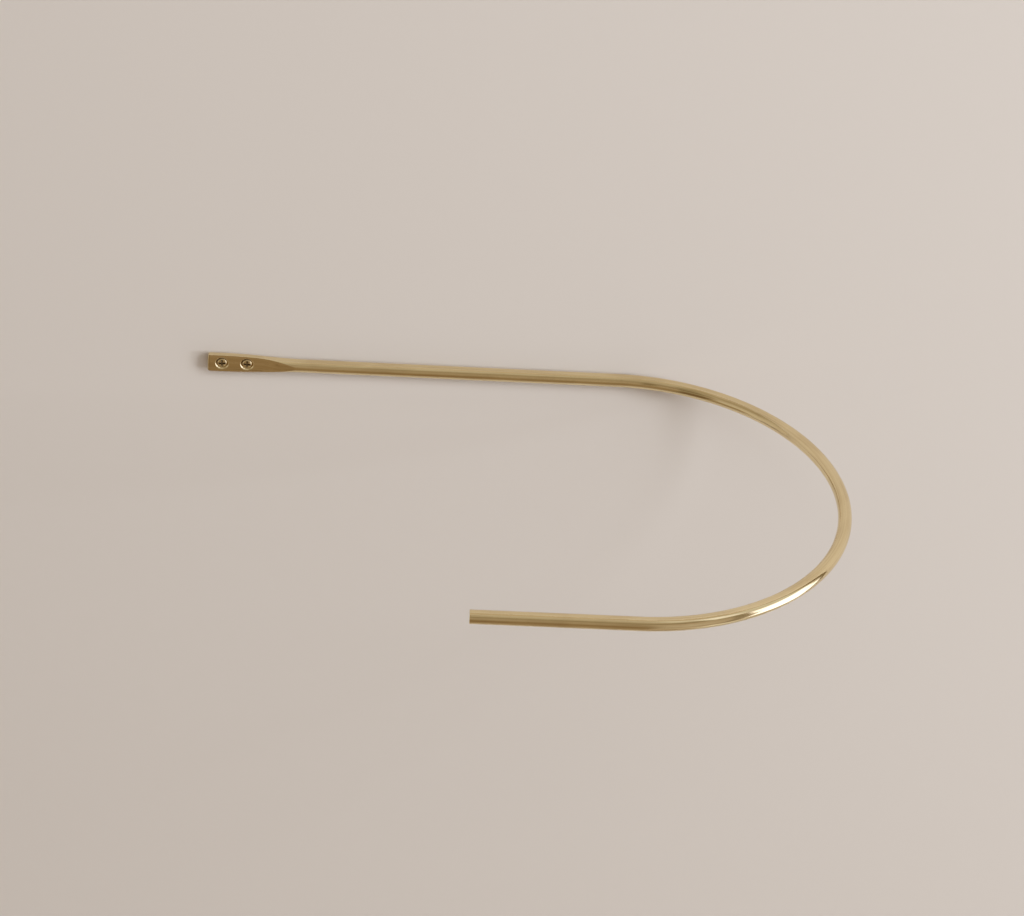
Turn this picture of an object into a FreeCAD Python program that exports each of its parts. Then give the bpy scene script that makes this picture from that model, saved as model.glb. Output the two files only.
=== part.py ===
"""Curtain holdback: one bent brass rod whose wall end is forged flat and held by two screws.

The wall is the plane y = 0, and the room lies on its -Y side. X runs along the wall from the
flat end towards the bend, and Z is up. The origin is on the wall, midway between the two
screws. Lengths are millimetres and angles are degrees.
"""
import FreeCAD, Part
import math
import os

# Rod
rod_diameter = 8.0
rod_wall_gap = 0.3          # between the straight arm and the wall
wall_arm_length = 231.0     # from the origin to the start of the bend
bend_radius = 125.0         # of the rod's axis
bend_angle = 180.0
return_arm_length = 93.0
free_end_round = 0.4

# Forged tongue
tongue_width = 11.5
tongue_thickness = 5.8
tongue_corner_radius = 1.4
end_margin = 8.5            # from the outer screw to the end of the tongue
end_edge_round = 1.0        # of the flat's front edge at the end
full_width_length = 11.0    # stretch at the end that keeps its full width
flare_length = 47.0         # stretch over which the round rod widens
flat_past_screw = 5.5       # even flat beyond the inner screw
ramp_length = 26.5          # stretch over which the flat runs up to the rod's front
ramp_lead = 0.05            # the ramp sets in this far off the rod, so that the flat ends in a point

# Screws and their holes
screw_spacing = 15.0
screw_diameter = 3.5        # over the thread
screw_length = 25.0         # from the rim of the head to the tip
screw_tip_length = 5.0
neck_diameter = 2.6         # of the plain shank inside the tongue
thread_runout = 0.45        # the plain shank swells to the thread over this length
head_diameter = 6.2
head_angle = 90.0
head_rim_height = 0.15
crown_diameter = 4.4        # the low crown inside the head's rounded shoulder
crown_height = 0.2
shoulder_height = 0.7
shoulder_bow = 0.14         # how far the shoulder bulges out of its straight line
head_sink = 0.9             # depth of the head's rim below the tongue's face
seat_gap = 0.02             # between the head's cone and its countersink, along the screw
hole_clearance = 0.5        # on the screw's diameter
recess_span = 4.5
recess_slot = 1.15
recess_floor_span = 2.1
recess_floor_slot = 0.75
recess_depth = 2.0          # from the top of the crown
recess_overshoot = 1.0      # the recess is cut from this far above the crown

# Values that follow from the sizes above
rod_radius = rod_diameter / 2
axis_y = -(rod_wall_gap + rod_radius)
rod_front_y = axis_y - rod_radius
face_y = -tongue_thickness
screw_places = [-screw_spacing / 2, screw_spacing / 2]
tongue_end_x = screw_places[0] - end_margin
flare_foot_x = tongue_end_x + full_width_length
flare_start_x = flare_foot_x + flare_length
ramp_foot_x = screw_places[1] + flat_past_screw
ramp_start_x = ramp_foot_x + ramp_length
head_slope = math.tan(math.radians(head_angle / 2))
along_x = FreeCAD.Vector(1, 0, 0)
along_y = FreeCAD.Vector(0, 1, 0)
along_z = FreeCAD.Vector(0, 0, 1)


def point(x, y, z=0.0):
    """A point in the part's frame."""
    return FreeCAD.Vector(x, y, z)


def line(start, end):
    """A straight edge."""
    return Part.makeLine(start, end)


def ease(start, end):
    """An S-shaped edge in the plane z = 0 that leaves and arrives parallel to X."""
    third = (end.x - start.x) / 3
    curve = Part.BezierCurve()
    curve.setPoles([start, point(start.x + third, start.y), point(end.x - third, end.y), end])
    return curve.toShape()


def face_of(edges):
    """The flat face inside a closed run of edges."""
    return Part.Face(Part.Wire(edges))


def bent_rod():
    """The round rod from the tongue's flare round the bend to the free end."""
    straight_end = point(wall_arm_length, axis_y)
    bend_centre = point(wall_arm_length, axis_y - bend_radius)
    disc = Part.Face(Part.Wire(Part.makeCircle(rod_radius, point(flare_start_x, axis_y), along_x)))
    wall_arm = disc.extrude(along_x * (wall_arm_length - flare_start_x))
    bend_disc = Part.Face(Part.Wire(Part.makeCircle(rod_radius, straight_end, along_x)))
    bend = bend_disc.revolve(bend_centre, -along_z, bend_angle)
    return_arm = Part.makeCylinder(rod_radius, return_arm_length, point(0, 0), along_x)
    free_edge = [edge for edge in return_arm.Edges if edge.BoundBox.XMin > return_arm_length / 2]
    return_arm = return_arm.makeFillet(free_end_round, free_edge)
    return_arm.translate(straight_end)
    return_arm.rotate(bend_centre, -along_z, bend_angle)
    return wall_arm.fuse([bend, return_arm])


def forged_tongue():
    """The widened end of the rod, between its flat back on the wall and its flat, ramped front."""
    half_width = tongue_width / 2
    corner_middle = tongue_corner_radius * (1 - math.sqrt(0.5))
    side = axis_y - half_width
    axis_start = point(flare_start_x, axis_y)
    flare_start = point(flare_start_x, rod_front_y)
    flare_foot = point(flare_foot_x, side)
    corner_start = point(tongue_end_x + tongue_corner_radius, side)
    corner_bow = point(tongue_end_x + corner_middle, side + corner_middle)
    corner_end = point(tongue_end_x, side + tongue_corner_radius)
    axis_end = point(tongue_end_x, axis_y)
    blank_outline = face_of([
        line(axis_start, flare_start),
        ease(flare_start, flare_foot),
        line(flare_foot, corner_start),
        Part.Arc(corner_start, corner_bow, corner_end).toShape(),
        line(corner_end, axis_end),
        line(axis_end, axis_start),
    ])
    blank = blank_outline.revolve(point(0, axis_y), along_x, 360)

    round_middle = end_edge_round * (1 - math.sqrt(0.5))
    ramp_top = point(ramp_start_x, rod_front_y - ramp_lead)
    ramp_foot = point(ramp_foot_x, face_y)
    round_start = point(tongue_end_x + end_edge_round, face_y)
    round_bow = point(tongue_end_x + round_middle, face_y + round_middle)
    round_end = point(tongue_end_x, face_y + end_edge_round)
    end_wall = point(tongue_end_x, 0)
    root_wall = point(flare_start_x + rod_diameter, 0)
    root_front = point(flare_start_x + rod_diameter, rod_front_y - ramp_lead)
    slab_outline = face_of([
        line(root_front, ramp_top),
        ease(ramp_top, ramp_foot),
        line(ramp_foot, round_start),
        Part.Arc(round_start, round_bow, round_end).toShape(),
        line(round_end, end_wall),
        line(end_wall, root_wall),
        line(root_wall, root_front),
    ])
    slab_outline.translate(along_z * -tongue_width)
    slab = slab_outline.extrude(along_z * 2 * tongue_width)
    return blank.common(slab)


def screw_hole(x):
    """The tool that cuts one clearance hole and its countersink through the tongue."""
    hole_radius = (screw_diameter + hole_clearance) / 2
    rim_y = face_y + head_sink + seat_gap
    mouth_y = face_y - head_sink
    mouth_radius = head_diameter / 2 + (rim_y - mouth_y) * head_slope
    cone_height = (mouth_radius - hole_radius) / head_slope
    hole = Part.makeCylinder(hole_radius, 3 * tongue_thickness, point(x, -2 * tongue_thickness), along_y)
    countersink = Part.makeCone(mouth_radius, hole_radius, cone_height, point(x, mouth_y), along_y)
    return hole.fuse(countersink)


def cross_outline(span, slot, y):
    """A plus-shaped wire across the screw's axis, at depth y."""
    arm = span / 2
    half = slot / 2
    quarter = [(arm, -half), (arm, half), (half, half)]
    corners = []
    for turn in range(4):
        spin = math.radians(90 * turn)
        for across, up in quarter:
            x = across * math.cos(spin) - up * math.sin(spin)
            z = across * math.sin(spin) + up * math.cos(spin)
            corners.append(point(x, y, z))
    return Part.makePolygon(corners + corners[:1])


def wall_screw(x):
    """One countersunk screw: low crown, round shoulder, cross recess, neck, the thread's outline and a point.

    The thread starts at the wall, where the neck leaves the tongue's back.
    """
    head_radius = head_diameter / 2
    neck_radius = neck_diameter / 2
    thread_radius = screw_diameter / 2
    rim_y = face_y + head_sink
    land_y = rim_y - head_rim_height
    shoulder_y = land_y - shoulder_height
    crown_y = shoulder_y - crown_height
    neck_y = rim_y + (head_radius - neck_radius) / head_slope
    tip_y = rim_y + screw_length
    crown_radius = crown_diameter / 2
    shoulder_width = head_radius - crown_radius
    bow_share = shoulder_bow / math.hypot(shoulder_width, shoulder_height)
    bow_radius = crown_radius + shoulder_width / 2 + shoulder_height * bow_share
    bow_y = shoulder_y + shoulder_height / 2 - shoulder_width * bow_share
    top = point(0, crown_y)
    crown_middle = point(crown_radius / 2, crown_y + crown_height / 4)
    shoulder = point(crown_radius, shoulder_y)
    land = point(head_radius, land_y)
    rim = point(head_radius, rim_y)
    neck = point(neck_radius, neck_y)
    neck_end = point(neck_radius, -thread_runout)
    thread_start = point(thread_radius, 0)
    thread_end = point(thread_radius, tip_y - screw_tip_length)
    tip = point(0, tip_y)
    profile = face_of([
        Part.Arc(top, crown_middle, shoulder).toShape(),
        Part.Arc(shoulder, point(bow_radius, bow_y), land).toShape(),
        line(land, rim),
        line(rim, neck),
        line(neck, neck_end),
        line(neck_end, thread_start),
        line(thread_start, thread_end),
        line(thread_end, tip),
        line(tip, top),
    ])
    turned = profile.revolve(point(0, 0), along_y, 360)
    overshoot_share = recess_overshoot / recess_depth
    mouth_span = recess_span + (recess_span - recess_floor_span) * overshoot_share
    mouth_slot = recess_slot + (recess_slot - recess_floor_slot) * overshoot_share
    mouth = cross_outline(mouth_span, mouth_slot, crown_y - recess_overshoot)
    floor = cross_outline(recess_floor_span, recess_floor_slot, crown_y + recess_depth)
    recess = Part.makeLoft([mouth, floor], True, True)
    screw = turned.cut(recess)
    screw.translate(along_x * x)
    return screw


holdback_rod = bent_rod().fuse(forged_tongue()).removeSplitter()
for place in screw_places:
    holdback_rod = holdback_rod.cut(screw_hole(place))
wall_screws = Part.makeCompound([wall_screw(place) for place in screw_places])

os.makedirs("parts", exist_ok=True)
holdback_rod.exportStep("parts/holdback_rod.step")
wall_screws.exportStep("parts/wall_screws.step")
for name, shape in (("holdback_rod", holdback_rod), ("wall_screws", wall_screws)):
    print(name, len(shape.Solids), "solids", round(shape.Volume, 1), "mm3, valid:", shape.isValid())
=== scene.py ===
# %% [markdown]
# # A bent brass curtain holdback
# The real object is one solid, drawn brass bar. One end is forged flat into a tongue and is
# screwed to the wall, and the rest is bent round into a long hook that holds a curtain aside.
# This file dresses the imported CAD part: it makes finer skins for the bar and its two screws,
# gives them brass finishes, and sets up the wall, the light and the camera.
# The CAD part says where everything is, so the first step only loads it and keeps its box.

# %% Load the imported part
import bpy
import numpy as np
from mathutils import Matrix
from mathutils import Vector


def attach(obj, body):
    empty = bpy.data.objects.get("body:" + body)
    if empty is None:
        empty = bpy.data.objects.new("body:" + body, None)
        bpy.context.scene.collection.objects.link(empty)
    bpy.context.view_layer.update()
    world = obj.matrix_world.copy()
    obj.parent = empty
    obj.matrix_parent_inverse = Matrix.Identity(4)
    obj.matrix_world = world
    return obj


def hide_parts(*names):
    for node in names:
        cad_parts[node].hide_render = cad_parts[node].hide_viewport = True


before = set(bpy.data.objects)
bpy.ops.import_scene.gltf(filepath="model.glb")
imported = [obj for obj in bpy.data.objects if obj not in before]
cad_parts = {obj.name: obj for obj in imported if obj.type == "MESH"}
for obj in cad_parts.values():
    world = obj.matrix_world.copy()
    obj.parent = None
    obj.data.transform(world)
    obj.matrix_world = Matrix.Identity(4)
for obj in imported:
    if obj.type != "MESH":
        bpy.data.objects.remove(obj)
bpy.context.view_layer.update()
MM = 0.001
print("CAD nodes:", sorted(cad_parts))

# %% [markdown]
# ## The sizes
# Blender works in metres, but a metalworker thinks in millimetres. So the sizes below are in
# millimetres, exactly as in the CAD source, and each finished mesh is scaled once, at the end.
# The wall is the plane y = 0, the room is on its -Y side, and X runs along the wall.

# %% Sizes of the bar
rod_radius = 4.0
axis_y = -4.3
bend_start_x = 231.0
bend_radius = 125.0
bend_length = np.pi * bend_radius
bend_end_x = bend_start_x + bend_length
return_arm_length = 93.0
free_end_round = 0.4
bar_end_x = bend_end_x + return_arm_length
tongue_end_x = -16.0
tongue_half_width = 5.75
tongue_corner = 1.4
end_round_length = 1.7
end_round_depth = 0.7
back_end_round = 0.3
flare_foot_x = -5.0
flare_start_x = 42.0
face_depth = 1.5
face_y = axis_y - face_depth
back_depth = 4.3
ramp_foot_x = 13.0
ramp_top_x = 39.5
ramp_top_depth = 4.05
past_ramp_slope = 0.2
screw_x = np.array([-7.5, 7.5])
print("bar length along its axis: %.1f mm" % (bar_end_x - tongue_end_x))

# %% [markdown]
# ## From a grid of points to a mesh
# A tube-like skin is a grid: rows run along the piece and columns run around it. The last column
# joins the first one again, and a fan of triangles closes each end on one tip point, so the skin
# has no holes. A mesh could be typed in face by face or built with operators, but whole numpy
# arrays are short and quick. Blender takes a face's outside from the order of its corners, so the
# volume is measured, and the order is turned round if the volume comes out negative.

# %% A helper that turns rings into a closed skin
def ring_faces(rows, columns):
    """Four-cornered faces between neighbouring rings, and the two fans at the ends.

    The corner numbers are row times columns plus column, and the column after the last is the first.
    """
    row = np.arange(rows - 1)[:, None] * columns
    here = np.arange(columns)[None, :]
    ahead = (here + 1) % columns
    quads = np.stack([row + here, row + ahead, row + columns + ahead, row + columns + here], axis=-1)
    first_tip = rows * columns
    last_row = (rows - 1) * columns
    here = here[0]
    ahead = ahead[0]
    first_fan = np.stack([ahead, here, np.full(columns, first_tip)], axis=-1)
    last_fan = np.stack([last_row + here, last_row + ahead, np.full(columns, first_tip + 1)], axis=-1)
    return quads.reshape(-1, 4), np.concatenate([first_fan, last_fan])


def with_tips(values):
    """A grid of values as one list, and the means of its first and its last ring for the tips."""
    tips = np.stack([values[0].mean(axis=0), values[-1].mean(axis=0)])
    return np.concatenate([values.reshape(-1, values.shape[-1]), tips])


def closed_skin(name, rings, marks):
    """A mesh object from rings of points in millimetres, with one UV map for each entry of marks.

    The enclosed volume is the sum of a . (b x c) / 6 over all triangles.
    """
    rows, columns = rings.shape[:2]
    points = with_tips(rings)
    quads, fans = ring_faces(rows, columns)
    triangles = np.concatenate([quads[:, [0, 1, 2]], quads[:, [0, 2, 3]], fans])
    corners = points[triangles]
    volume = np.einsum("ij,ij->i", corners[:, 0], np.cross(corners[:, 1], corners[:, 2])).sum() / 6
    if volume < 0:
        quads = quads[:, ::-1]
        fans = fans[:, ::-1]
    mesh = bpy.data.meshes.new(name)
    mesh.from_pydata((points * MM).tolist(), [], quads.tolist() + fans.tolist())
    corner_points = np.zeros(len(mesh.loops), dtype=np.int32)
    mesh.loops.foreach_get("vertex_index", corner_points)
    for map_name, values in marks.items():
        uv_map = mesh.uv_layers.new(name=map_name)
        uv_map.data.foreach_set("uv", with_tips(values)[corner_points].astype(np.float32).ravel())
    mesh.shade_smooth()
    piece = bpy.data.objects.new(name, mesh)
    bpy.context.scene.collection.objects.link(piece)
    print("%s: %d faces, %.1f mm3" % (name, len(mesh.polygons), abs(volume)))
    return piece

# %% [markdown]
# ## The bar before it is bent
# A smith starts with a straight round bar, upsets one end so that it swells, and hammers that end
# flat. The skin follows the same story. At each place along the bar, and in each direction round
# its axis, the surface lies at the least of three distances: to the swollen round blank, to the
# flat front and to the flat back. A sharp least would give knife edges, so a soft least is used,
# which rounds the creases as a file or a polishing wheel does.

# %% The round blank and its two flats
def smooth_step(share):
    """3 t^2 - 2 t^3, with t held between 0 and 1: level at both ends."""
    held = np.clip(share, 0.0, 1.0)
    return held * held * (3.0 - 2.0 * held)


def blank_radius(x):
    """The blank's radius: the rod's, easing out to half the tongue's width between the flare's ends."""
    share = (flare_start_x - x) / (flare_start_x - flare_foot_x)
    return rod_radius + (tongue_half_width - rod_radius) * smooth_step(share)


def end_drop(x, length, depth):
    """The fall of a quarter ellipse towards the end: depth times 1 minus the root of 1 - (1 - t)^2."""
    share = np.clip((x - tongue_end_x) / length, 0.0, 1.0)
    return depth * (1.0 - np.sqrt(1.0 - (1.0 - share) ** 2))


def front_distance(x):
    """From the axis to the front flat: level on the tongue, then easing up and off the rod's front."""
    ramp = smooth_step((x - ramp_foot_x) / (ramp_top_x - ramp_foot_x))
    past = np.clip(x - ramp_top_x, 0.0, None)
    level = face_depth + (ramp_top_depth - face_depth) * ramp + past_ramp_slope * past
    return level - end_drop(x, end_round_length, end_round_depth)


def back_distance(x):
    """From the axis to the flat back, which rests on the wall."""
    return back_depth - end_drop(x, back_end_round, back_end_round)


def soft_least(first, second, third, sharpness=80.0):
    """The soft least of three lengths: the sum of their powers -p, to the power -1/p."""
    total = first ** -sharpness + second ** -sharpness + third ** -sharpness
    return total ** (-1.0 / sharpness)


tongue_width = 2 * blank_radius(flare_foot_x)
tongue_thickness = front_distance(0.0) + back_distance(0.0)
print("tongue: %.1f mm wide, %.1f mm thick" % (tongue_width, tongue_thickness))

# %% [markdown]
# ## Where the rows and columns go
# A mesh only shows a crease well if a line of points runs along it. Rows are close together on the
# tongue and far apart on the plain rod. Columns are drawn towards the creases: the angle at which
# the flat meets the round side is known at every row, so columns are spread between those angles
# and bunched up on both sides of them.

# %% Rows along the bar
def quarter_turn(steps):
    """Angles from just above 0 to 90 degrees, in equal steps."""
    return np.linspace(0.0, np.pi / 2, steps + 1)[1:]


# Each stretch of the bar: where it starts, where it ends and its number of rows.
STRETCHES = [
    (tongue_end_x + tongue_corner, ramp_foot_x, 70),
    (ramp_foot_x, flare_start_x, 150),
    (flare_start_x, bend_start_x, 32),
    (bend_start_x, bend_end_x, 221),
    (bend_end_x, bar_end_x - free_end_round, 17),
]
corner_turn = quarter_turn(steps=14)
end_turn = quarter_turn(steps=7)
cap_share = np.array([0.2, 0.4, 0.6, 0.8, 0.93, 1.0])
inner_corner = tongue_half_width - tongue_corner
inner_end = rod_radius - free_end_round
middle_x = np.concatenate([np.linspace(start, end, rows)[1:] for start, end, rows in STRETCHES])
row_x = np.concatenate([
    np.full(len(cap_share), tongue_end_x),
    tongue_end_x + tongue_corner * (1 - np.cos(corner_turn)),
    middle_x,
    bar_end_x - free_end_round * (1 - np.sin(end_turn)),
    np.full(len(cap_share), bar_end_x),
])
row_blank = np.concatenate([
    inner_corner * cap_share,
    inner_corner + tongue_corner * np.sin(corner_turn),
    blank_radius(middle_x),
    inner_end + free_end_round * np.cos(end_turn),
    inner_end * cap_share[::-1],
])
print("rows along the bar:", len(row_x))

# %% Columns round the bar
front_points = 23
side_points = 31
back_points = 17
bunch_power = 2.2
bunch_share = 0.9
least_spread = np.radians(26.0)
bunching_from = 24.0
bunching_over = 16.0


def crease_angle(flat_distance, radius):
    """The angle off a flat's direction at which it meets the round: arccos of distance over radius."""
    return np.arccos(np.clip(flat_distance / radius, -1.0, 1.0))


def half_columns(front_crease, back_crease, bunching):
    """Angles from the front (0) to the back (180 degrees), bunched at the two creases.

    Steps t in the outer stretches become 1 - (1 - t)^p or its mirror t^p, and in the middle stretch
    t - s sin(2 pi t) / (2 pi). Bunching 0 leaves t as it is, which suits the round rod.
    """
    front_steps = np.linspace(0.0, 1.0, front_points)[None, :]
    side_steps = np.linspace(0.0, 1.0, side_points)[None, 1:]
    back_steps = np.linspace(0.0, 1.0, back_points)[None, 1:]
    front_bunched = 1.0 - (1.0 - front_steps) ** bunch_power
    side_bunched = side_steps - bunch_share * np.sin(2 * np.pi * side_steps) / (2 * np.pi)
    back_bunched = back_steps ** bunch_power
    front_steps = front_steps + bunching * (front_bunched - front_steps)
    side_steps = side_steps + bunching * (side_bunched - side_steps)
    back_steps = back_steps + bunching * (back_bunched - back_steps)
    front = front_crease * front_steps
    side = front_crease + (back_crease - front_crease) * side_steps
    back = back_crease + (np.pi - back_crease) * back_steps
    return np.concatenate([front, side, back], axis=1)


front_flat = front_distance(row_x)[:, None]
back_flat = back_distance(row_x)[:, None]
blank = row_blank[:, None]
front_crease = crease_angle(front_flat, blank)
back_crease = np.pi - crease_angle(back_flat, blank)
front_guide = np.maximum(front_crease, least_spread)
back_guide = np.minimum(back_crease, np.pi - least_spread)
row_bunching = smooth_step((np.degrees(front_crease) - bunching_from) / bunching_over)
half_turn = half_columns(front_guide, back_guide, row_bunching)
turn = np.concatenate([half_turn, 2 * np.pi - half_turn[:, -2:0:-1]], axis=1)
print("columns round the bar:", turn.shape[1])

# %% [markdown]
# ## Bending the bar
# Each ring is worked out on the straight bar first, and then carried to its place along the bent
# axis. The bend is a half circle in the level plane, so a ring needs only its middle point and the
# direction from there to the inside of the bend. Blender's Curve bevel could sweep a round
# section too, but not one that turns from a flat tongue into a round rod.
# The straight place of every point is kept in two UV maps. The lines that the draw-plate left on
# the brass run along the straight bar, so a pattern on those places follows the bend by itself.
# The maps' fourth number marks the creases, which hands and the polishing wheel reach first.

# %% The bar's skin
least_cosine = 1e-3
wear_width = 0.45
least_crease = 0.15


def bar_axis(x):
    """The bent axis: the middle point and the inward direction for each length x of the straight bar.

    Up to the bend the axis is straight. Round the bend it is the tangent point plus radius times
    (sin t, cos t - 1) in plan, and after half a turn it runs straight back.
    """
    bend_turn = np.clip((x - bend_start_x) / bend_radius, 0.0, np.pi)
    before = np.minimum(x, bend_start_x)
    after = np.maximum(x - bend_start_x - bend_length, 0.0)
    middle = np.zeros((len(x), 3))
    middle[:, 0] = before + bend_radius * np.sin(bend_turn) - after
    middle[:, 1] = axis_y - bend_radius * (1.0 - np.cos(bend_turn))
    inward = np.stack([-np.sin(bend_turn), -np.cos(bend_turn), np.zeros(len(x))], axis=1)
    return middle, inward


def bar_reach(turn):
    """From the axis to the surface in each direction: the soft least of blank, front and back."""
    towards_front = np.clip(np.cos(turn), least_cosine, None)
    towards_back = np.clip(-np.cos(turn), least_cosine, None)
    round_reach = np.broadcast_to(blank, turn.shape)
    return soft_least(round_reach, front_flat / towards_front, back_flat / towards_back)


def near(distance, width):
    """1 at no distance, fading to 0 over a few widths: e to the power -(distance / width)^2."""
    return np.exp(-(distance / width) ** 2)


reach = bar_reach(turn)
forward = reach * np.cos(turn)
upward = reach * np.sin(turn)
middle, inward = bar_axis(row_x)
up = np.array([0.0, 0.0, 1.0])
bar_rings = middle[:, None, :] + forward[..., None] * inward[:, None, :] + upward[..., None] * up
folded_turn = np.minimum(turn, 2 * np.pi - turn)
front_worn = front_crease > least_crease
back_worn = back_crease < np.pi - least_crease
front_edge = near((folded_turn - front_crease) * reach, wear_width) * front_worn
back_edge = near((folded_turn - back_crease) * reach, wear_width) * back_worn
edge = np.maximum(front_edge, back_edge)
straight_x = np.broadcast_to(row_x[:, None], turn.shape)
bar = closed_skin("brass_bar", bar_rings, {
    "bar_length_front": np.stack([straight_x, forward], axis=-1) * MM,
    "bar_up_wear_shade": np.stack([upward * MM, edge], axis=-1),
})

# %% [markdown]
# ## Drilling and countersinking
# The screw holes are cut the way a workshop cuts them: a drill goes through, and a countersink
# opens the mouth to a cone for the screw head. The cutter is a turned shape, a profile carried once
# round an axis, and a Boolean modifier takes it out of the bar. The cutter's mouth flares a little
# more at the very top, which breaks the sharp edge. The result is kept as a plain mesh, and edges
# steeper than a set angle are marked sharp, so that faces stay flat and curves stay smooth.
# The mark for worn edges goes on into the hole. At the mouth it is a rubbed edge with a painted
# highlight, bright at the lower right and fading towards the upper left. It falls below zero where
# tarnish fills the cone, and painted shade takes that dark furthest up at the upper left.

# %% The holes' shape and marks
cutter_columns = 96
mouth_rows = [(5.05, -6.30), (4.09, -5.80), (4.00, -5.755)]
cone_tip_y = -1.78
cone_y = np.linspace(-5.71, -3.84, num=14)
cone_rows = np.stack([cone_tip_y - cone_y, cone_y], axis=1)
bore_rows = [(2.0, -3.76), (2.0, -0.06), (2.1, 0.04), (2.1, 1.0)]
hole_profile = np.concatenate([mouth_rows, cone_rows, bore_rows])
mouth_wear_highlight_width = 0.07
tarnish_top_y = -5.2
shade_climb = 0.55
tarnish_and_shade_blend = 0.5
# The side where the painted shade lies deepest: the upper left.
shaded_turn = np.radians(125.0)


def turned(profile, columns):
    """A profile of (radius, y) pairs carried once round the Y axis: (r cos a, y, r sin a)."""
    angle = np.linspace(0.0, 2 * np.pi, columns, endpoint=False)
    radius = profile[:, 0][:, None]
    depth = np.broadcast_to(profile[:, 1][:, None], (len(profile), columns))
    return np.stack([radius * np.cos(angle), depth, radius * np.sin(angle)], axis=-1)


def upper_left(angle):
    """1 towards the upper left and 0 opposite: half of 1 + cos(angle - 125 degrees), squared."""
    return (0.5 + 0.5 * np.cos(angle - shaded_turn)) ** 2


hole_rings = turned(hole_profile, cutter_columns)
hole_y = hole_rings[..., 1]
hole_up = hole_rings[..., 2]
hole_turn = np.arctan2(hole_up, hole_rings[..., 0])
# A rubbed edge at the mouth, with a painted highlight that fades towards the upper left.
hole_wear_and_highlight = near(hole_y - face_y, mouth_wear_highlight_width) * (1.0 - upper_left(hole_turn))
# Tarnish deep in the cone, and painted shade that climbs higher towards the upper left.
tarnish_and_shade_start = tarnish_top_y - shade_climb * upper_left(hole_turn)
hole_tarnish_and_shade = smooth_step((hole_y - tarnish_and_shade_start) / tarnish_and_shade_blend)
print("rows in a hole:", len(hole_profile))

# %% The cutters and the cut
cutters = []
for place in screw_x:
    placed_rings = hole_rings + np.array([place, 0.0, 0.0])
    cutter = closed_skin("hole_cutter", placed_rings, {
        "bar_length_front": np.stack([placed_rings[..., 0], axis_y - hole_y], axis=-1) * MM,
        "bar_up_wear_shade": np.stack([hole_up * MM, hole_wear_and_highlight - hole_tarnish_and_shade], axis=-1),
    })
    cut = bar.modifiers.new("countersunk_hole", "BOOLEAN")
    cut.operation = "DIFFERENCE"
    cut.solver = "EXACT"
    cut.object = cutter
    cutters.append(cutter)
shaped = bar.evaluated_get(bpy.context.evaluated_depsgraph_get())
drilled_mesh = bpy.data.meshes.new_from_object(shaped)
bar.modifiers.clear()
bar.data = drilled_mesh
for cutter in cutters:
    bpy.data.objects.remove(cutter)
drilled_mesh.shade_smooth()
drilled_mesh.set_sharp_from_angle(angle=np.radians(22.0))
drilled_mesh.calc_loop_triangles()
print("drilled bar:", len(drilled_mesh.loop_triangles), "triangles")

# %% [markdown]
# ## The screws
# Each screw has a low crowned head with a bevel round it and a cross recess, a cone that sits in
# the countersink, a plain neck, a rolled thread and a gimlet point. A Boolean could cut the recess,
# but its edges would stay sharp. Here the rings of the head change shape on their way out: the inner
# rings are crosses that climb the flanks of the recess and roll over its lip, and the outer ones
# become circles.
# A cross is the larger of two stretched superellipses, and it has just one reach in each direction,
# so one set of directions serves the whole head.

# %% Directions round the head
recess_half = 2.25
slot_half = 0.575
tip_points = 7
flank_points = 11
tip_steps = np.linspace(0.0, slot_half, tip_points)[:-1]
flank_steps = np.linspace(recess_half, slot_half, flank_points)
flank_turn = np.arctan2(slot_half, flank_steps)
even_turn = np.linspace(flank_turn[0], np.pi / 4, flank_points)
eighth = np.concatenate([np.arctan2(tip_steps, recess_half), 0.5 * (flank_turn + even_turn)])
quarter = np.concatenate([eighth, np.pi / 2 - eighth[-2:0:-1]])
head_turn = (quarter[None, :] + np.arange(4)[:, None] * np.pi / 2).ravel()
print("columns round the head:", len(head_turn))

# %% The cross and the crown
head_radius = 3.1
crown_top_y = -5.95
crown_sphere = 12.2
bevel_foot = 2.3
bevel_fall = 0.2
bevel_slope = 0.92
bevel_blend = 0.05
recess_depth = 2.0
floor_half = 1.05
floor_slot_half = 0.39


def box_reach(half_across, half_up, roundness):
    """A superellipse's reach, which is a rounded box: (|cos a / p|^k + |sin a / q|^k)^(-1/k)."""
    across = np.abs(np.cos(head_turn)) / half_across
    upright = np.abs(np.sin(head_turn)) / half_up
    return (across ** roundness + upright ** roundness) ** (-1 / roundness)


def cross_reach(half_span, half_slot, roundness=9.0, blend=14):
    """The cross's reach in each direction: the soft greater of two boxes at right angles.

    The soft greater is the sum of their powers b, to the power 1/b.
    """
    level_box = box_reach(half_span, half_slot, roundness)
    tall_box = box_reach(half_slot, half_span, roundness)
    return (level_box ** blend + tall_box ** blend) ** (1 / blend)


def head_y(reach):
    """The head's front: the cap of a sphere, and a bevel that takes over from it in a soft bend.

    The cap falls by R minus the root of R^2 - r^2, and the bevel by its slope times the way past its
    foot. Their soft greater is the cap plus w times the logarithm of 1 + e^((bevel - cap) / w).
    """
    cap = crown_sphere - np.sqrt(crown_sphere ** 2 - reach ** 2)
    bevel = bevel_fall + bevel_slope * (reach - bevel_foot)
    return crown_top_y + cap + bevel_blend * np.logaddexp(0.0, (bevel - cap) / bevel_blend)


floor_y = crown_top_y + recess_depth
floor_reach = cross_reach(floor_half, floor_slot_half, roundness=6.0)
mouth_reach = cross_reach(recess_half, slot_half)
print("recess: %.1f mm across, %.1f mm deep" % (2 * mouth_reach.max(), recess_depth))

# %% [markdown]
# The thread is a ridge that winds round the core. At a height y and an angle a, the ridge stands
# where y divided by the pitch, plus a divided by a full turn, is near a whole number. So the thread
# needs no twisting or screw modifier: it is a turned shape whose radius also depends on the angle.

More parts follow.
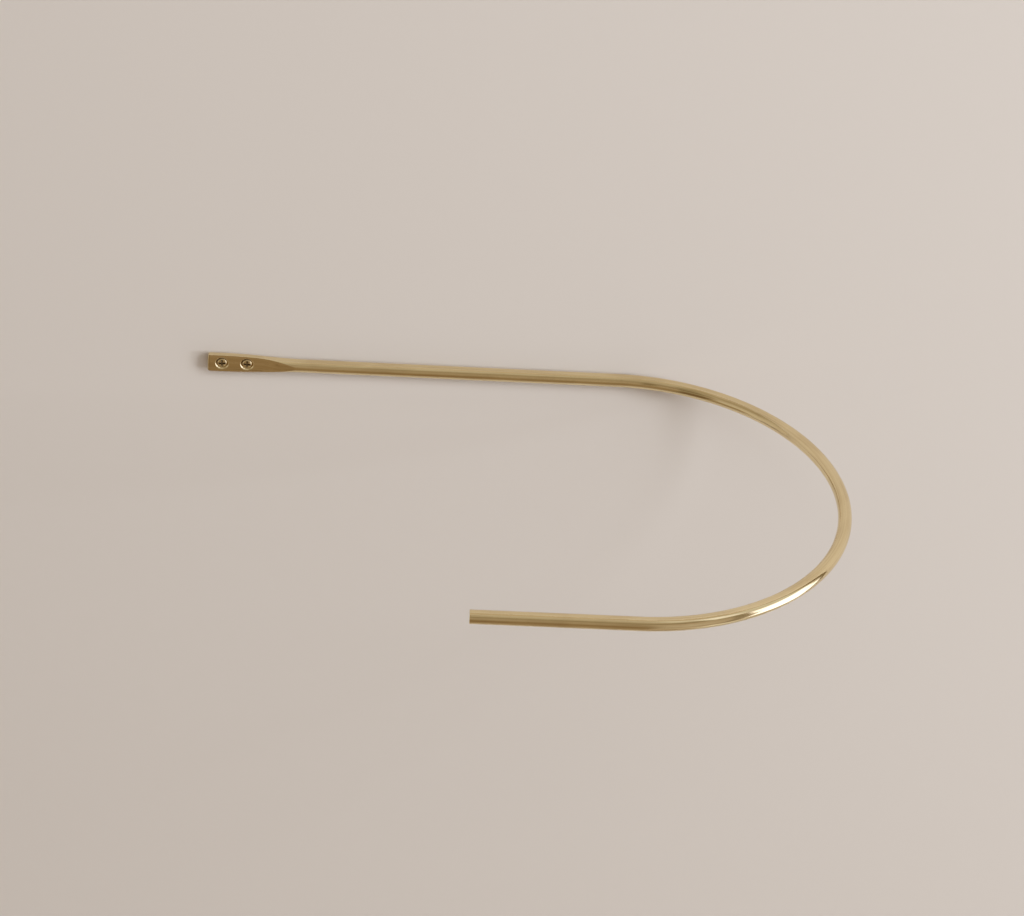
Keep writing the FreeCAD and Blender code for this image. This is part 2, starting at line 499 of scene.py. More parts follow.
# %% The thread and its point
thread_pitch = 1.35
thread_radius = 1.75
neck_radius = 1.3
thread_core = 1.12
thread_start_y = -0.2
thread_run_in = 1.4
ridge_width = 0.62
ridge_power = 0.85
point_start_y = 15.1
tip_y = 20.1
tip_core_share = 0.03
tip_crest_share = 0.02


def thread_reach(y):
    """Core plus ridge, which is 1 - |2u - 1| / w, cut at 0, to a power, with u the share of a pitch.

    The thread rises over its run-in, and core and ridge shrink in step along the point.
    """
    start = smooth_step((y - thread_start_y) / thread_run_in)
    shrink = np.clip((tip_y - y) / (tip_y - point_start_y), 0.0, 1.0)
    core = neck_radius + (thread_core - neck_radius) * start
    core = core * np.minimum(1.0, shrink + tip_core_share)
    crest = thread_radius * np.minimum(1.0, shrink + tip_crest_share)
    winding = np.mod(y[:, None] / thread_pitch + head_turn[None, :] / (2 * np.pi), 1.0)
    ridge = np.clip(1.0 - np.abs(2.0 * winding - 1.0) / ridge_width, 0.0, 1.0) ** ridge_power
    rise = np.clip(crest - core, 0.0, None) * start
    return core[:, None] + rise[:, None] * ridge


neck_end_y = -0.45
tip_gap = 0.02
thread_y = np.linspace(neck_end_y, tip_y - tip_gap, num=205)
thread_rows = thread_reach(thread_y)
print("thread: %.1f turns" % ((tip_y - thread_start_y) / thread_pitch))

# %% One screw's rings, from the floor of the recess to the point
lip_round = 0.12
floor_shares = np.array([0.3, 0.65, 0.92])[:, None]
floor_dip = np.array([0.16, 0.09, 0.03])[:, None]
flank_shares = np.linspace(0.0, 1.0, num=9)
crown_shares = np.linspace(0.0, 1.0, num=12)[1:]
bevel_start = 2.45
bevel_end = head_radius - 0.05


def stretch_rows(start, end, shares):
    """Rows part of the way from one row of values to another: start plus share times the difference."""
    return start + shares[:, None] * (end - start)


round_row = np.ones_like(head_turn)
lip_turn = quarter_turn(steps=5)[:, None]
lip_top_y = head_y(mouth_reach + lip_round)
lip_reach = mouth_reach + lip_round * (1 - np.cos(lip_turn))
lip_y = lip_top_y + lip_round * (1 - np.sin(lip_turn))
floor_rows = floor_reach * floor_shares
floor_row_y = floor_y + floor_dip * round_row
flank_rows = stretch_rows(floor_reach, mouth_reach, flank_shares)
flank_y = stretch_rows(floor_y * round_row, lip_top_y + lip_round, flank_shares)
crown_rows = stretch_rows(lip_reach[-1], bevel_start * round_row, crown_shares)
bevel_reach = np.linspace(bevel_start, bevel_end, num=11)[1:]
bevel_profile = np.stack([bevel_reach, head_y(bevel_reach)], axis=1)
shank_profile = np.array([
    (3.086, -5.01), (3.1, -4.96), (3.07, -4.89), (2.2, -4.02), (1.36, -3.18),
    (1.31, -3.08), (1.3, -2.95), (1.3, -1.8), (1.3, -0.6),
])
rim_profile = np.concatenate([bevel_profile, shank_profile])
rim_rows = rim_profile[:, 0][:, None] * round_row
rim_y = rim_profile[:, 1][:, None] * round_row
screw_reach = np.concatenate([floor_rows, flank_rows, lip_reach, crown_rows, rim_rows, thread_rows])
screw_y = np.concatenate([
    floor_row_y, flank_y, lip_y, head_y(crown_rows), rim_y, thread_y[:, None] * round_row,
])
screw_rings = np.stack([
    screw_reach * np.cos(head_turn), screw_y, screw_reach * np.sin(head_turn),
], axis=-1)
print("rings in a screw:", len(screw_reach))

# %% [markdown]
# Three marks darken the screws. Deep in the recess it is dirt that a cloth doesn't reach, together
# with painted shade; in the gap round the head it is painted shade; and on the upper left of the
# bevel it is painted shade as well. It could be painted by hand, but the mesh already knows how deep
# and how far out each point lies, so the marks are worked out from that and kept in a UV map.

# %% Dirt and painted shade on a screw
recess_darkening_from = 0.03
recess_darkening_blend = 0.45
gap_shade_share = 0.6
gap_shade_y = -4.95
gap_shade_width = 0.1
gap_shade_from = 2.95
bevel_shade_from = 2.5
bevel_shade_blend = 0.35
below_front = screw_y - head_y(screw_reach)
in_recess = np.zeros((len(screw_reach), 1))
in_recess[:len(floor_rows) + len(flank_rows) + len(lip_reach)] = 1.0
# Dirt and painted shade, darker deeper in the recess.
recess_dirt_and_shade = smooth_step((below_front - recess_darkening_from) / recess_darkening_blend) * in_recess
# Painted shade in the gap round the head.
gap_shade = gap_shade_share * near(screw_y - gap_shade_y, gap_shade_width) * (screw_reach > gap_shade_from)
# Painted shade on the bevel's upper left.
bevel_shade = smooth_step((screw_reach - bevel_shade_from) / bevel_shade_blend) * upper_left(head_turn)
dirt_and_shade = np.maximum(recess_dirt_and_shade, np.maximum(gap_shade, bevel_shade))
print("share of dirty points: %.2f" % (dirt_and_shade > 0.5).mean())

# %% [markdown]
# Both screws are one piece, because they stand for one CAD node. Each is a closed skin, and joining
# puts the second screw's mesh into the first one's object. They are turned by a few degrees, one
# each way, since nobody drives two screws to exactly the same angle.

# %% Two screws in one piece
def turned_about_y(points, degrees):
    """Points turned about the Y axis: x' = x cos t - z sin t, z' = x sin t + z cos t."""
    angle = np.radians(degrees)
    x = points[..., 0] * np.cos(angle) - points[..., 2] * np.sin(angle)
    z = points[..., 0] * np.sin(angle) + points[..., 2] * np.cos(angle)
    return np.stack([x, points[..., 1], z], axis=-1)


screw_marks = {
    "screw_across": screw_rings[..., [0, 2]] * MM,
    "screw_depth_dirt_shade": np.stack([screw_y * MM, dirt_and_shade], axis=-1),
}
screw_degrees = (3.0, -5.0)
screw_parts = []
for place, degrees in zip(screw_x, screw_degrees):
    placed = turned_about_y(screw_rings, degrees) + np.array([place, 0.0, 0.0])
    screw_parts.append(closed_skin("wall_screw_pair", placed, screw_marks))
screws = screw_parts[0]
with bpy.context.temp_override(active_object=screws, selected_editable_objects=screw_parts):
    bpy.ops.object.join()
screws.data.set_sharp_from_angle(angle=np.radians(35.0))
screws.data.calc_loop_triangles()
print("screws:", len(screws.data.loop_triangles), "triangles")

# %% [markdown]
# ## Node helpers
# A material is a small network of nodes. A few helpers keep the code below readable: they add a
# node, feed a socket with a number, a colour or another node's output, do sums, carry a value from
# one range to another, mix colours, make noise, and make and place node groups.

# %% Helpers for nodes
def put(tree, kind, **settings):
    """Adds a node of a kind and sets its options."""
    made = tree.nodes.new(kind)
    for option, value in settings.items():
        setattr(made, option, value)
    return made


def feed(tree, socket, value):
    """Links an output into a socket, or sets the socket's own value."""
    if isinstance(value, bpy.types.NodeSocket):
        tree.links.new(value, socket)
    else:
        socket.default_value = value


def sums(tree, operation, first, second=0.0, third=0.0):
    """One Math node's output."""
    made = put(tree, "ShaderNodeMath", operation=operation)
    feed(tree, made.inputs[0], first)
    feed(tree, made.inputs[1], second)
    feed(tree, made.inputs[2], third)
    return made.outputs[0]


def between(tree, value, low, high, to_low=0.0, to_high=1.0):
    """A value carried from one range to another and held there, eased at both ends."""
    made = put(tree, "ShaderNodeMapRange", interpolation_type="SMOOTHSTEP")
    for socket, number in zip(made.inputs[:5], (value, low, high, to_low, to_high)):
        feed(tree, socket, number)
    return made.outputs[0]


def tint(tree, share, first, second):
    """A colour part of the way from the first to the second, by a Mix node's colour sockets."""
    made = put(tree, "ShaderNodeMix", data_type="RGBA")
    feed(tree, made.inputs[0], share)
    feed(tree, made.inputs[6], first)
    feed(tree, made.inputs[7], second)
    return made.outputs[2]


print("node helpers are ready")

# %% Helpers for patterns and groups
def stretched(tree, place, size):
    """A place divided by a size along each axis, so that a pattern of size 1 gets that size."""
    made = put(tree, "ShaderNodeVectorMath", operation="DIVIDE")
    feed(tree, made.inputs[0], place)
    feed(tree, made.inputs[1], size)
    return made.outputs[0]


def mottle(tree, place, detail, roughness=0.5):
    """A noise value between 0 and 1 at a place, about one blotch per unit."""
    made = put(tree, "ShaderNodeTexNoise")
    feed(tree, made.inputs["Vector"], place)
    feed(tree, made.inputs["Scale"], 1.0)
    feed(tree, made.inputs["Detail"], detail)
    feed(tree, made.inputs["Roughness"], roughness)
    return made.outputs["Fac"]


def new_group(name, inputs, outputs):
    """An empty shader node group with named sockets, and its two end nodes."""
    group = bpy.data.node_groups.new(name, "ShaderNodeTree")
    for socket_name, kind in inputs:
        group.interface.new_socket(socket_name, in_out="INPUT", socket_type=kind)
    for socket_name, kind in outputs:
        group.interface.new_socket(socket_name, in_out="OUTPUT", socket_type=kind)
    return group, put(group, "NodeGroupInput"), put(group, "NodeGroupOutput")


def place_group(tree, group, **values):
    """A group as a node in a material, with its named inputs fed."""
    made = put(tree, "ShaderNodeGroup", node_tree=group)
    for name, value in values.items():
        feed(tree, made.inputs[name.replace("_", " ")], value)
    return made


print("pattern helpers are ready")

# %% [markdown]
# ## What bare brass looks like
# Two effects make the brass look real, and both the bar and the screws use them, so each is a node
# group. Drawn or turned metal carries fine parallel lines. Handling leaves a patina: soft, slightly
# browner and duller patches, with tiny specks of tarnish here and there. Each group takes a place
# and gives out masks, and each material decides what to do with them.

# %% Group: drawn lines
VALUE = "NodeSocketFloat"
PLACE = "NodeSocketVector"
BROAD_RANGE = (0.3, 0.7)
FINE_RANGE = (0.28, 0.72)
HAIR_RANGE = (0.58, 0.7)
drawn_lines, ends_in, ends_out = new_group(
    "drawn_lines",
    [("Place", PLACE), ("Broad Size", PLACE), ("Fine Size", PLACE)],
    [("Broad", VALUE), ("Fine", VALUE), ("Hair", VALUE)],
)
broad_place = stretched(drawn_lines, ends_in.outputs["Place"], ends_in.outputs["Broad Size"])
fine_place = stretched(drawn_lines, ends_in.outputs["Place"], ends_in.outputs["Fine Size"])
broad_noise = mottle(drawn_lines, broad_place, detail=2.0)
fine_noise = mottle(drawn_lines, fine_place, detail=3.0)
feed(drawn_lines, ends_out.inputs["Broad"], between(drawn_lines, broad_noise, *BROAD_RANGE))
feed(drawn_lines, ends_out.inputs["Fine"], between(drawn_lines, fine_noise, *FINE_RANGE))
feed(drawn_lines, ends_out.inputs["Hair"], between(drawn_lines, fine_noise, *HAIR_RANGE))
print("group:", drawn_lines.name)

# %% Group: handled patina
PATCH_RANGE = (0.4, 0.68)
SPECK_RANGE = (0.66, 0.76)
handled_patina, ends_in, ends_out = new_group(
    "handled_patina",
    [("Place", PLACE), ("Patch Size", PLACE), ("Speck Size", PLACE)],
    [("Patch", VALUE), ("Specks", VALUE)],
)
patch_place = stretched(handled_patina, ends_in.outputs["Place"], ends_in.outputs["Patch Size"])
speck_place = stretched(handled_patina, ends_in.outputs["Place"], ends_in.outputs["Speck Size"])
patch_noise = mottle(handled_patina, patch_place, detail=4.0, roughness=0.55)
speck_noise = mottle(handled_patina, speck_place, detail=2.0)
feed(handled_patina, ends_out.inputs["Patch"], between(handled_patina, patch_noise, *PATCH_RANGE))
feed(handled_patina, ends_out.inputs["Specks"], between(handled_patina, speck_noise, *SPECK_RANGE))
print("group:", handled_patina.name)

# %% [markdown]
# ## The bar's brass
# A polished metal has no colour of its own beyond how it tints reflections, so the Base Color is the
# tint of brass, Metallic is 1, and Roughness says how sharp the room appears in it. The lines
# change tint, roughness and height a little, and the patina browns and dulls. The creases of the
# tongue are worn a little brighter and smoother, and so are the mouths of its holes, which carry a
# painted highlight as well. Where the mark for wear is below zero, down in the countersinks, tarnish
# and painted shade darken the brass, the painted shade reaching highest at the upper left.

# %% Helpers for a metal
LINE_DEPTH = 0.00003


def new_metal(name):
    """A new material: its tree and its shader, fully metallic."""
    material = bpy.data.materials.new(name)
    material.use_nodes = True
    tree = material.node_tree
    tree.nodes.clear()
    shader = put(tree, "ShaderNodeBsdfPrincipled")
    shader.inputs["Metallic"].default_value = 1.0
    tree.links.new(shader.outputs[0], put(tree, "ShaderNodeOutputMaterial").inputs["Surface"])
    return material, tree, shader


def mapped_place(tree, first_map, second_map, order):
    """A place and a mask from two UV maps: the first three of their four numbers, and the last."""
    first = put(tree, "ShaderNodeSeparateXYZ")
    feed(tree, first.inputs[0], put(tree, "ShaderNodeUVMap", uv_map=first_map).outputs[0])
    second = put(tree, "ShaderNodeSeparateXYZ")
    feed(tree, second.inputs[0], put(tree, "ShaderNodeUVMap", uv_map=second_map).outputs[0])
    numbers = [first.outputs[0], first.outputs[1], second.outputs[0]]
    joined = put(tree, "ShaderNodeCombineXYZ")
    for socket, number in zip(joined.inputs, order):
        feed(tree, socket, numbers[number])
    return joined.outputs[0], second.outputs[1]


def laid_over(tree, tone, colour, mask, share):
    """A tone with a colour laid over it, by the mask times a share."""
    return tint(tree, sums(tree, "MULTIPLY", mask, share), tone, colour)


def added(tree, start, mask, weight):
    """A start value plus the mask times a weight."""
    return sums(tree, "MULTIPLY_ADD", mask, weight, start)


def lines_bump(tree, shader, height, strength):
    """Feeds a height into a Bump node and on into the shader's Normal."""
    bump = put(tree, "ShaderNodeBump")
    bump.inputs["Strength"].default_value = strength
    bump.inputs["Distance"].default_value = LINE_DEPTH
    feed(tree, bump.inputs["Height"], height)
    feed(tree, shader.inputs["Normal"], bump.outputs[0])


print("drawn lines are up to %.2f mm deep" % (LINE_DEPTH / MM))

# %% Material: drawn brass
BRASS_PALE = (0.89, 0.755, 0.48, 1.0)
BRASS_DEEP = (0.80, 0.655, 0.385, 1.0)
BRASS_BROWN = (0.52, 0.375, 0.19, 1.0)
BRASS_WEAR_HIGHLIGHT = (0.91, 0.79, 0.53, 1.0)
TARNISH_AND_SHADE = (0.30, 0.215, 0.125, 1.0)
BAR_ROUGHNESS = 0.045
STRONGEST_WEAR_HIGHLIGHT = 0.8
drawn_brass, tree, shader = new_metal("drawn_brass")
bar_place, wear_and_shade_mask = mapped_place(tree, "bar_length_front", "bar_up_wear_shade", (0, 1, 2))
lines = place_group(
    tree, drawn_lines, Place=bar_place,
    Broad_Size=(0.16, 0.0013, 0.0013), Fine_Size=(0.08, 0.0006, 0.0006),
)
patina = place_group(
    tree, handled_patina, Place=bar_place,
    Patch_Size=(0.028, 0.006, 0.006), Speck_Size=(0.0016, 0.0009, 0.0009),
)
tone = tint(tree, lines.outputs["Broad"], BRASS_DEEP, BRASS_PALE)
tone = laid_over(tree, tone, BRASS_BROWN, lines.outputs["Hair"], share=0.55)
tone = laid_over(tree, tone, BRASS_BROWN, patina.outputs["Patch"], share=0.26)
tone = laid_over(tree, tone, BRASS_BROWN, patina.outputs["Specks"], share=0.3)
# Worn creases, and the painted highlight at the holes' mouths.
wear_highlight_strength = added(tree, STRONGEST_WEAR_HIGHLIGHT, lines.outputs["Fine"], weight=-0.4)
wear_and_highlight = sums(tree, "MULTIPLY", sums(tree, "MAXIMUM", wear_and_shade_mask, 0.0), wear_highlight_strength)
tone = tint(tree, wear_and_highlight, tone, BRASS_WEAR_HIGHLIGHT)
# Tarnish and painted shade down in the countersinks.
tarnish_and_shade = sums(tree, "MINIMUM", wear_and_shade_mask, 0.0)
tone = laid_over(tree, tone, TARNISH_AND_SHADE, tarnish_and_shade, share=-0.75)
feed(tree, shader.inputs["Base Color"], tone)
rough = added(tree, BAR_ROUGHNESS, lines.outputs["Fine"], weight=0.04)
rough = added(tree, rough, patina.outputs["Patch"], weight=0.04)
rough = added(tree, rough, wear_and_highlight, weight=-0.02)
feed(tree, shader.inputs["Roughness"], rough)
line_height = added(tree, lines.outputs["Broad"], lines.outputs["Fine"], weight=0.4)
lines_bump(tree, shader, line_height, strength=0.25)
bar.data.materials.clear()
bar.data.materials.append(drawn_brass)
print("material:", drawn_brass.name, len(tree.nodes), "nodes")

# %% [markdown]
# ## The screws' brass
# The screws are turned, so their lines are rings round the axis: the place handed to the line group
# is the distance from the axis and the depth. They are a little duller than the bar, and the dirt
# and painted shade that came with their mesh darken and dull them further.

# %% Material: turned brass
DIRT_AND_SHADE = (0.16, 0.095, 0.045, 1.0)
SCREW_ROUGHNESS = 0.08
NO_DEPTH = (1.0, 0.0, 1.0)
turned_brass, tree, shader = new_metal("turned_brass")
screw_place, dirt_and_shade_mask = mapped_place(tree, "screw_across", "screw_depth_dirt_shade", (0, 2, 1))
flattened = put(tree, "ShaderNodeVectorMath", operation="MULTIPLY")
feed(tree, flattened.inputs[0], screw_place)
feed(tree, flattened.inputs[1], NO_DEPTH)
off_axis = put(tree, "ShaderNodeVectorMath", operation="LENGTH")
feed(tree, off_axis.inputs[0], flattened.outputs[0])
depth = put(tree, "ShaderNodeSeparateXYZ")
feed(tree, depth.inputs[0], screw_place)
ring_place = put(tree, "ShaderNodeCombineXYZ")
feed(tree, ring_place.inputs[0], off_axis.outputs["Value"])
feed(tree, ring_place.inputs[1], depth.outputs[1])
lines = place_group(
    tree, drawn_lines, Place=ring_place.outputs[0],
    Broad_Size=(0.0006, 0.0006, 0.01), Fine_Size=(0.00014, 0.00014, 0.01),
)
patina = place_group(
    tree, handled_patina, Place=screw_place,
    Patch_Size=(0.0022, 0.0022, 0.0022), Speck_Size=(0.0006, 0.0006, 0.0006),
)
tone = tint(tree, lines.outputs["Broad"], BRASS_DEEP, BRASS_PALE)
tone = laid_over(tree, tone, BRASS_BROWN, patina.outputs["Patch"], share=0.45)
# Dirt and painted shade from the screw's mesh: recess, gap round the head and the bevel's upper left.
tone = laid_over(tree, tone, DIRT_AND_SHADE, dirt_and_shade_mask, share=0.62)
feed(tree, shader.inputs["Base Color"], tone)
rough = added(tree, SCREW_ROUGHNESS, lines.outputs["Fine"], weight=0.05)
rough = added(tree, rough, patina.outputs["Patch"], weight=0.06)
rough = added(tree, rough, dirt_and_shade_mask, weight=0.3)
feed(tree, shader.inputs["Roughness"], rough)
lines_bump(tree, shader, lines.outputs["Fine"], strength=0.3)
screws.data.materials.clear()
screws.data.materials.append(turned_brass)
print("material:", turned_brass.name, len(tree.nodes), "nodes")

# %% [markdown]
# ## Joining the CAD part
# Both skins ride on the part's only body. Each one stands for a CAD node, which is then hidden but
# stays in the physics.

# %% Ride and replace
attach(bar, "root")
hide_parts("holdback_rod")
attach(screws, "root")
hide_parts("wall_screws")
print("pieces:", bar.name, screws.name)

# %% [markdown]
# ## The wall
# The holdback hangs on a plain pale wall, which is the backdrop here. The wall is drawn from its
# front only: its material lets light and sight through from behind, so that a view from the back
# still shows the tongue and the screws. It stands a hair behind y = 0, so it never shares a plane
# with the tongue's back, and reflections that meet it within a millimetre pass through it, or that
# back would show only the dark of the narrow gap. It ends sooner on the right, so that the bend
# shows the window's far edge past it. The floor is a strip that only the brass and the light see.

# %% A plain wall, and a strip of pale floor at its foot
WALL_COLOUR = (0.580, 0.510, 0.446, 1.0)
FLOOR_COLOUR = (0.50, 0.44, 0.37, 1.0)
CONTACT = 0.001
holdback_middle_x = 0.17
wall_half_height = 1.6
left_x = holdback_middle_x - 1.6
right_x = holdback_middle_x + 0.85
wall_y = 0.0003
floor_z = -0.7
floor_front_y = -0.33


def stage_card(name, corners, colour):
    """A flat, matt, one-sided card of the stage, from four corners, anticlockwise from its front."""
    mesh = bpy.data.meshes.new(name)
    mesh.from_pydata(corners, [], [(0, 1, 2, 3)])
    card = bpy.data.objects.new(name, mesh)
    bpy.context.scene.collection.objects.link(card)
    paint = bpy.data.materials.new(name + "_paint")
    paint.use_nodes = True
    tree = paint.node_tree
    tree.nodes.clear()
    matt = put(tree, "ShaderNodeBsdfDiffuse")
    matt.inputs["Color"].default_value = colour
    clear = put(tree, "ShaderNodeBsdfTransparent")
    one_sided = put(tree, "ShaderNodeMixShader")
    path = put(tree, "ShaderNodeLightPath")
    contact = sums(tree, "LESS_THAN", path.outputs["Ray Length"], CONTACT)
    contact = sums(tree, "MULTIPLY", contact, path.outputs["Is Glossy Ray"])
    behind = put(tree, "ShaderNodeNewGeometry").outputs["Backfacing"]
    feed(tree, one_sided.inputs[0], sums(tree, "MAXIMUM", behind, contact))
    feed(tree, one_sided.inputs[1], matt.outputs[0])
    feed(tree, one_sided.inputs[2], clear.outputs[0])
    feed(tree, put(tree, "ShaderNodeOutputMaterial").inputs["Surface"], one_sided.outputs[0])
    mesh.materials.append(paint)
    print(name, "faces", [round(value, 1) for value in mesh.polygons[0].normal])
    return card


stage_card("wall", [
    (left_x, wall_y, -wall_half_height), (right_x, wall_y, -wall_half_height),
    (right_x, wall_y, wall_half_height), (left_x, wall_y, wall_half_height),
], WALL_COLOUR)
floor = stage_card("floor", [
    (left_x, floor_front_y, floor_z), (right_x, floor_front_y, floor_z),
    (right_x, wall_y, floor_z), (left_x, wall_y, floor_z),
], FLOOR_COLOUR)
floor.visible_camera = False

# %% [markdown]
# ## Light
# Brass shows its surroundings, so these matter more than for a painted object. In a studio, pale
# cards and dark flags are set round polished metal until its bands look right, and the world here
# does the same. One upright gradient is the pale room all round, a second one is the room in front,
# with a dim lower half, and a short list of soft-edged patches adds the window on the right with its
# dark frame, pale cards round it, and dark flags in front and on the left. Later patches cover
# earlier ones. The camera itself sees only the wall's colour beyond the wall.

# %% The room's tones and patches
ROOM_TONES = [
    (-1.0, (0.36, 0.28, 0.20)), (-0.87, (0.52, 0.46, 0.38)), (-0.5, (0.57, 0.51, 0.43)),
    (0.1, (0.58, 0.52, 0.45)), (0.3, (0.53, 0.47, 0.39)), (0.48, (0.43, 0.38, 0.29)),
    (0.62, (0.43, 0.38, 0.29)), (0.82, (0.51, 0.45, 0.38)), (1.0, (0.57, 0.51, 0.44)),
]
FRONT_TONES = [
    (-1.0, (0.33, 0.26, 0.18)), (-0.94, (0.38, 0.30, 0.22)), (-0.84, (0.32, 0.25, 0.17)),
    (-0.62, (0.275, 0.195, 0.115)), (-0.38, (0.28, 0.20, 0.12)), (-0.2, (0.335, 0.265, 0.18)),
    (0.05, (0.39, 0.32, 0.24)), (0.25, (0.40, 0.335, 0.25)), (0.43, (0.38, 0.32, 0.24)),
    (0.51, (0.34, 0.285, 0.205)), (0.57, (0.35, 0.295, 0.215)), (0.65, (0.43, 0.375, 0.30)),
    (0.8, (0.50, 0.45, 0.37)), (1.0, (0.57, 0.51, 0.44)),
]
# The sides of the room in front, and their softness, in degrees of azimuth: 0 is straight ahead of
# the wall, and 90 is to the right along it.
FRONT_SIDES = (-47, 60)
FRONT_SOFTNESS = (8, 6)
# Each patch: azimuths, elevations, softness of its sides, foot and top, all in degrees; then its tone.
ROOM_PATCHES = [
    ((-70, -44), (-52, -16), (10, 10, 12), (0.33, 0.26, 0.17)),    # dim corner, low on the left
    ((-60, -38), (38, 64), (8, 10, 8), (0.38, 0.32, 0.23)),        # dim corner, high on the left
    ((-80, -50), (22, 50), (10, 10, 10), (0.37, 0.31, 0.22)),      # dim card further left
    ((-40, -27), (-62, 46), (4, 10, 10), (0.29, 0.24, 0.165)),     # tall flag on the left
    ((-45, -28), (-46, -10), (5, 10, 10), (0.17, 0.115, 0.065)),   # darkest part of that flag
    ((-15, -8), (-8, 26), (4, 6, 6), (0.25, 0.20, 0.13)),          # narrow flag in front
    ((14, 58), (-62, 22), (12, 8, 10), (0.51, 0.445, 0.37)),       # pale room on the right
    ((28, 62), (50, 76), (10, 10, 10), (0.67, 0.63, 0.58)),        # pale ceiling on the right
    ((44, 66), (31, 56), (7, 7, 8), (0.98, 0.98, 1.02)),           # white card over the window
    ((64, 96), (28, 56), (8, 8, 14), (0.68, 0.66, 0.62)),          # pale card further right
    ((50, 58), (-40, 24), (4, 6, 8), (0.33, 0.28, 0.21)),          # flag at the window's near side
    ((48, 76), (-60, -46), (6, 5, 5), (0.88, 0.86, 0.84)),         # white card under the window
    ((64, 101), (-37, 0), (4, 9, 10), (2.0, 2.08, 2.5)),           # window, lower half
    ((60, 96), (-6, 21), (4, 8, 24), (2.0, 2.08, 2.5)),            # window, upper half
    ((101, 112), (-40, 34), (3, 8, 10), (0.22, 0.17, 0.10)),       # frame at the window's far side
]
print("room tones:", len(ROOM_TONES) + len(FRONT_TONES), "and patches:", len(ROOM_PATCHES))

# %% [markdown]
# The world's nodes turn each direction into an azimuth and an elevation, look up both gradients by
# height, and lay the patches over them one by one. An image of a room could do the same, but a list
# is easier to adjust.

# %% World: the room that the brass shows
def tone_ladder(tree, height, tones):
    """A colour by height, from -1 straight down to 1 straight up."""
    ladder = put(tree, "ShaderNodeValToRGB")
    feed(tree, ladder.inputs[0], sums(tree, "MULTIPLY_ADD", height, 0.5, 0.5))
    rungs = ladder.color_ramp.elements
    while len(rungs) < len(tones):
        rungs.new(1.0)
    for rung, (place, colour) in zip(rungs, tones):
        rung.position = 0.5 + 0.5 * place
        rung.color = (*colour, 1.0)
    return ladder.outputs[0]


def within(tree, value, low, high, low_soft, high_soft):
    """1 between two bounds and 0 outside, each bound softened over its own width."""
    rise = between(tree, value, low - low_soft / 2, low + low_soft / 2)
    fall = between(tree, value, high - high_soft / 2, high + high_soft / 2, 1.0, 0.0)
    return sums(tree, "MULTIPLY", rise, fall)


world = bpy.data.worlds.new("soft_room")
bpy.context.scene.world = world
world.use_nodes = True
tree = world.node_tree
tree.nodes.clear()
direction = put(tree, "ShaderNodeSeparateXYZ")
feed(tree, direction.inputs[0], put(tree, "ShaderNodeTexCoord").outputs["Generated"])
towards_room = sums(tree, "MULTIPLY", direction.outputs[1], -1.0)
azimuth = sums(tree, "ARCTAN2", direction.outputs[0], towards_room)
azimuth = sums(tree, "MULTIPLY", azimuth, np.degrees(1.0))
elevation = sums(tree, "ARCSINE", direction.outputs[2])
elevation = sums(tree, "MULTIPLY", elevation, np.degrees(1.0))
room_tone = tone_ladder(tree, direction.outputs[2], ROOM_TONES)
front_tone = tone_ladder(tree, direction.outputs[2], FRONT_TONES)
in_front = within(tree, azimuth, *FRONT_SIDES, *FRONT_SOFTNESS)
room_tone = tint(tree, in_front, room_tone, front_tone)
for sides, heights, (side_soft, foot_soft, top_soft), tone in ROOM_PATCHES:
    across = within(tree, azimuth, *sides, side_soft, side_soft)
    upright = within(tree, elevation, *heights, foot_soft, top_soft)
    room_tone = tint(tree, sums(tree, "MULTIPLY", across, upright), room_tone, (*tone, 1.0))
room = put(tree, "ShaderNodeBackground")
feed(tree, room.inputs["Color"], room_tone)
seen = put(tree, "ShaderNodeBackground")
seen.inputs["Color"].default_value = WALL_COLOUR
choice = put(tree, "ShaderNodeMixShader")
feed(tree, choice.inputs[0], put(tree, "ShaderNodeLightPath").outputs["Is Camera Ray"])
feed(tree, choice.inputs[1], room.outputs[0])
feed(tree, choice.inputs[2], seen.outputs[0])
feed(tree, put(tree, "ShaderNodeOutputWorld").inputs["Surface"], choice.outputs[0])
print("world:", world.name, len(tree.nodes), "nodes")

# %% [markdown]
# The wall needs more than the room's glow: a large soft lamp in front, a tall one on the right, which
# gives the tongue its short shadow, and three more, wider, higher up and further to the right, which
# draw the bend's faint shadow. The front and upper lamps stand far off, so that the wall is almost
# as bright at its foot as at its top.
# They stand for daylight, so they are slightly cool, and they light only matt surfaces, because
# the brass already has its room to show.

# %% Daylight on the wall
DAYLIGHT = (0.89, 1.0, 1.14)
LAMP_TARGET = Vector((holdback_middle_x, -0.1, 0.0))
# Each lamp: azimuth and elevation in degrees, distance, width and height in metres, and watts.
LAMPS = {
    "daylight_front": (12.0, 44.0, 7.2, (4.8, 2.4), 144.0),
    "daylight_side": (50.0, 23.0, 3.4, (0.8, 1.8), 33.0),
    "daylight_wide": (57.0, 24.0, 3.4, (1.4, 1.6), 32.0),
    "daylight_above": (51.0, 41.0, 6.4, (1.0, 1.0), 48.0),
    "daylight_far": (61.5, 8.0, 3.4, (0.6, 0.5), 28.0),
}


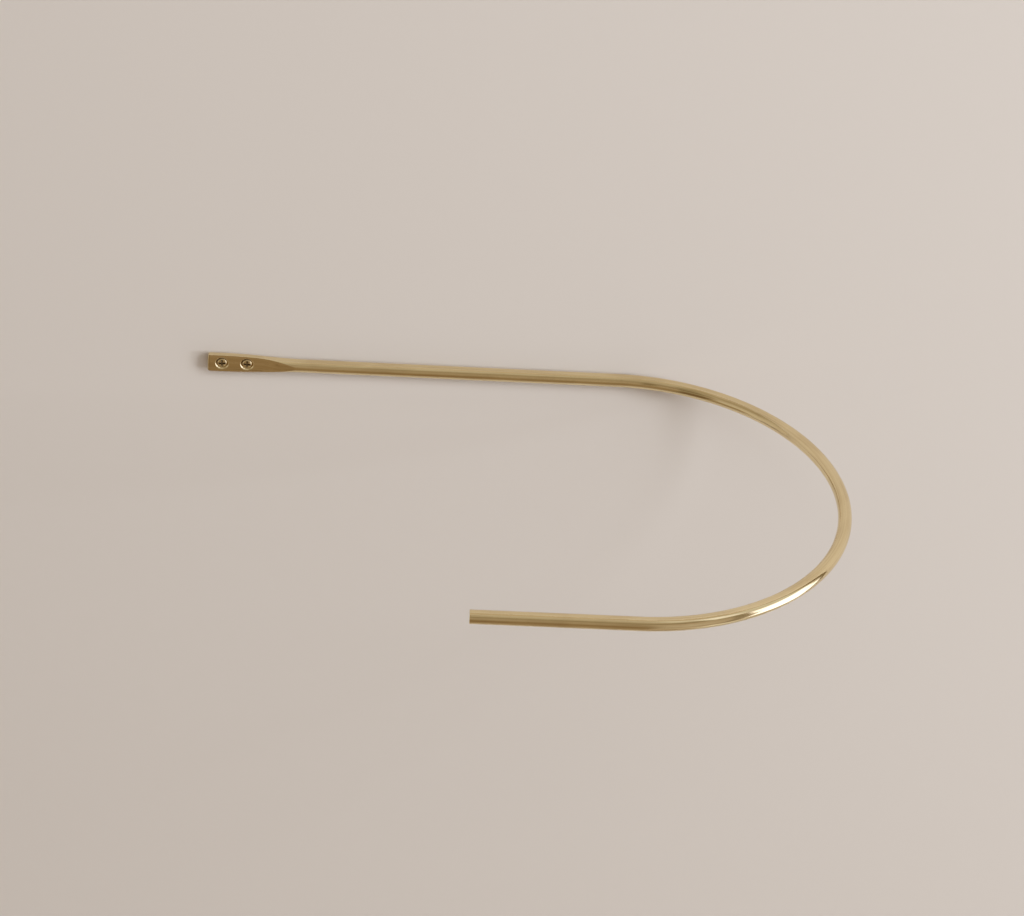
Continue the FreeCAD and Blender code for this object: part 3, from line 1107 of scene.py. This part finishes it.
def daylight_lamp(name, azimuth, elevation, distance, size, watts):
    """A lamp aimed at the middle of the holdback, from an azimuth to the right of the front.

    Its direction is (sin a cos e, -cos a cos e, sin e).
    """
    across = np.radians(azimuth)
    rise = np.radians(elevation)
    away = Vector((np.sin(across) * np.cos(rise), -np.cos(across) * np.cos(rise), np.sin(rise)))
    lamp_data = bpy.data.lights.new(name, "AREA")
    lamp_data.shape = "RECTANGLE"
    lamp_data.size = size[0]
    lamp_data.size_y = size[1]
    lamp_data.energy = watts
    lamp_data.color = DAYLIGHT
    lamp = bpy.data.objects.new(name, lamp_data)
    lamp.location = LAMP_TARGET + away * distance
    lamp.rotation_euler = away.to_track_quat("Z", "Y").to_euler()
    lamp.visible_glossy = False
    bpy.context.scene.collection.objects.link(lamp)
    print("%s: %.0f W" % (name, watts))


for name, settings in LAMPS.items():
    daylight_lamp(name, *settings)

# %% [markdown]
# ## Camera
# The camera stands in front of the wall, about two metres away, and looks down at the holdback. Its
# place was worked out by fitting the bar's own bent line to the line in the photograph. A turn
# about Z, a tilt down and a small roll give its direction. One more matrix turns the part's axes
# into an image's, which are x to the right, y down and z away from the viewer, and another turns
# those into a Blender camera's, which has y up and looks along its own -Z.

# %% The photograph's viewpoint
IMAGE_WIDTH = 1024.0
FOCAL_PIXELS = 3333.2946
SENSOR_WIDTH = 36.0
LEFT_TURN = 4.0
DOWN_TILT = 33.06435267
ROLL = 4.75560116
bend_start = Vector((bend_start_x, axis_y, 0.0)) * MM
bend_start_seen = Vector((63.502365, -46.999525, 2018.72165)) * MM
part_to_image = Matrix(((1, 0, 0), (0, 0, -1), (0, 1, 0)))
turned_left = Matrix.Rotation(np.radians(LEFT_TURN), 3, "Z")
looking_down = Matrix.Rotation(np.radians(DOWN_TILT), 3, "X")
rolled = Matrix.Rotation(np.radians(ROLL), 3, "Z")
to_image = rolled @ looking_down @ part_to_image @ turned_left
camera_data = bpy.data.cameras.new("photo_camera")
camera_data.sensor_width = SENSOR_WIDTH
camera_data.lens = FOCAL_PIXELS * SENSOR_WIDTH / IMAGE_WIDTH
camera = bpy.data.objects.new("photo_camera", camera_data)
image_to_camera = Matrix(((1, 0, 0), (0, -1, 0), (0, 0, -1)))
facing = (to_image.transposed() @ image_to_camera).to_4x4()
camera.matrix_world = Matrix.Translation(bend_start - to_image.transposed() @ bend_start_seen) @ facing
bpy.context.scene.collection.objects.link(camera)
bpy.context.scene.camera = camera
bpy.context.scene.view_settings.view_transform = "Standard"
print("camera at", [round(value, 3) for value in camera.matrix_world.translation])
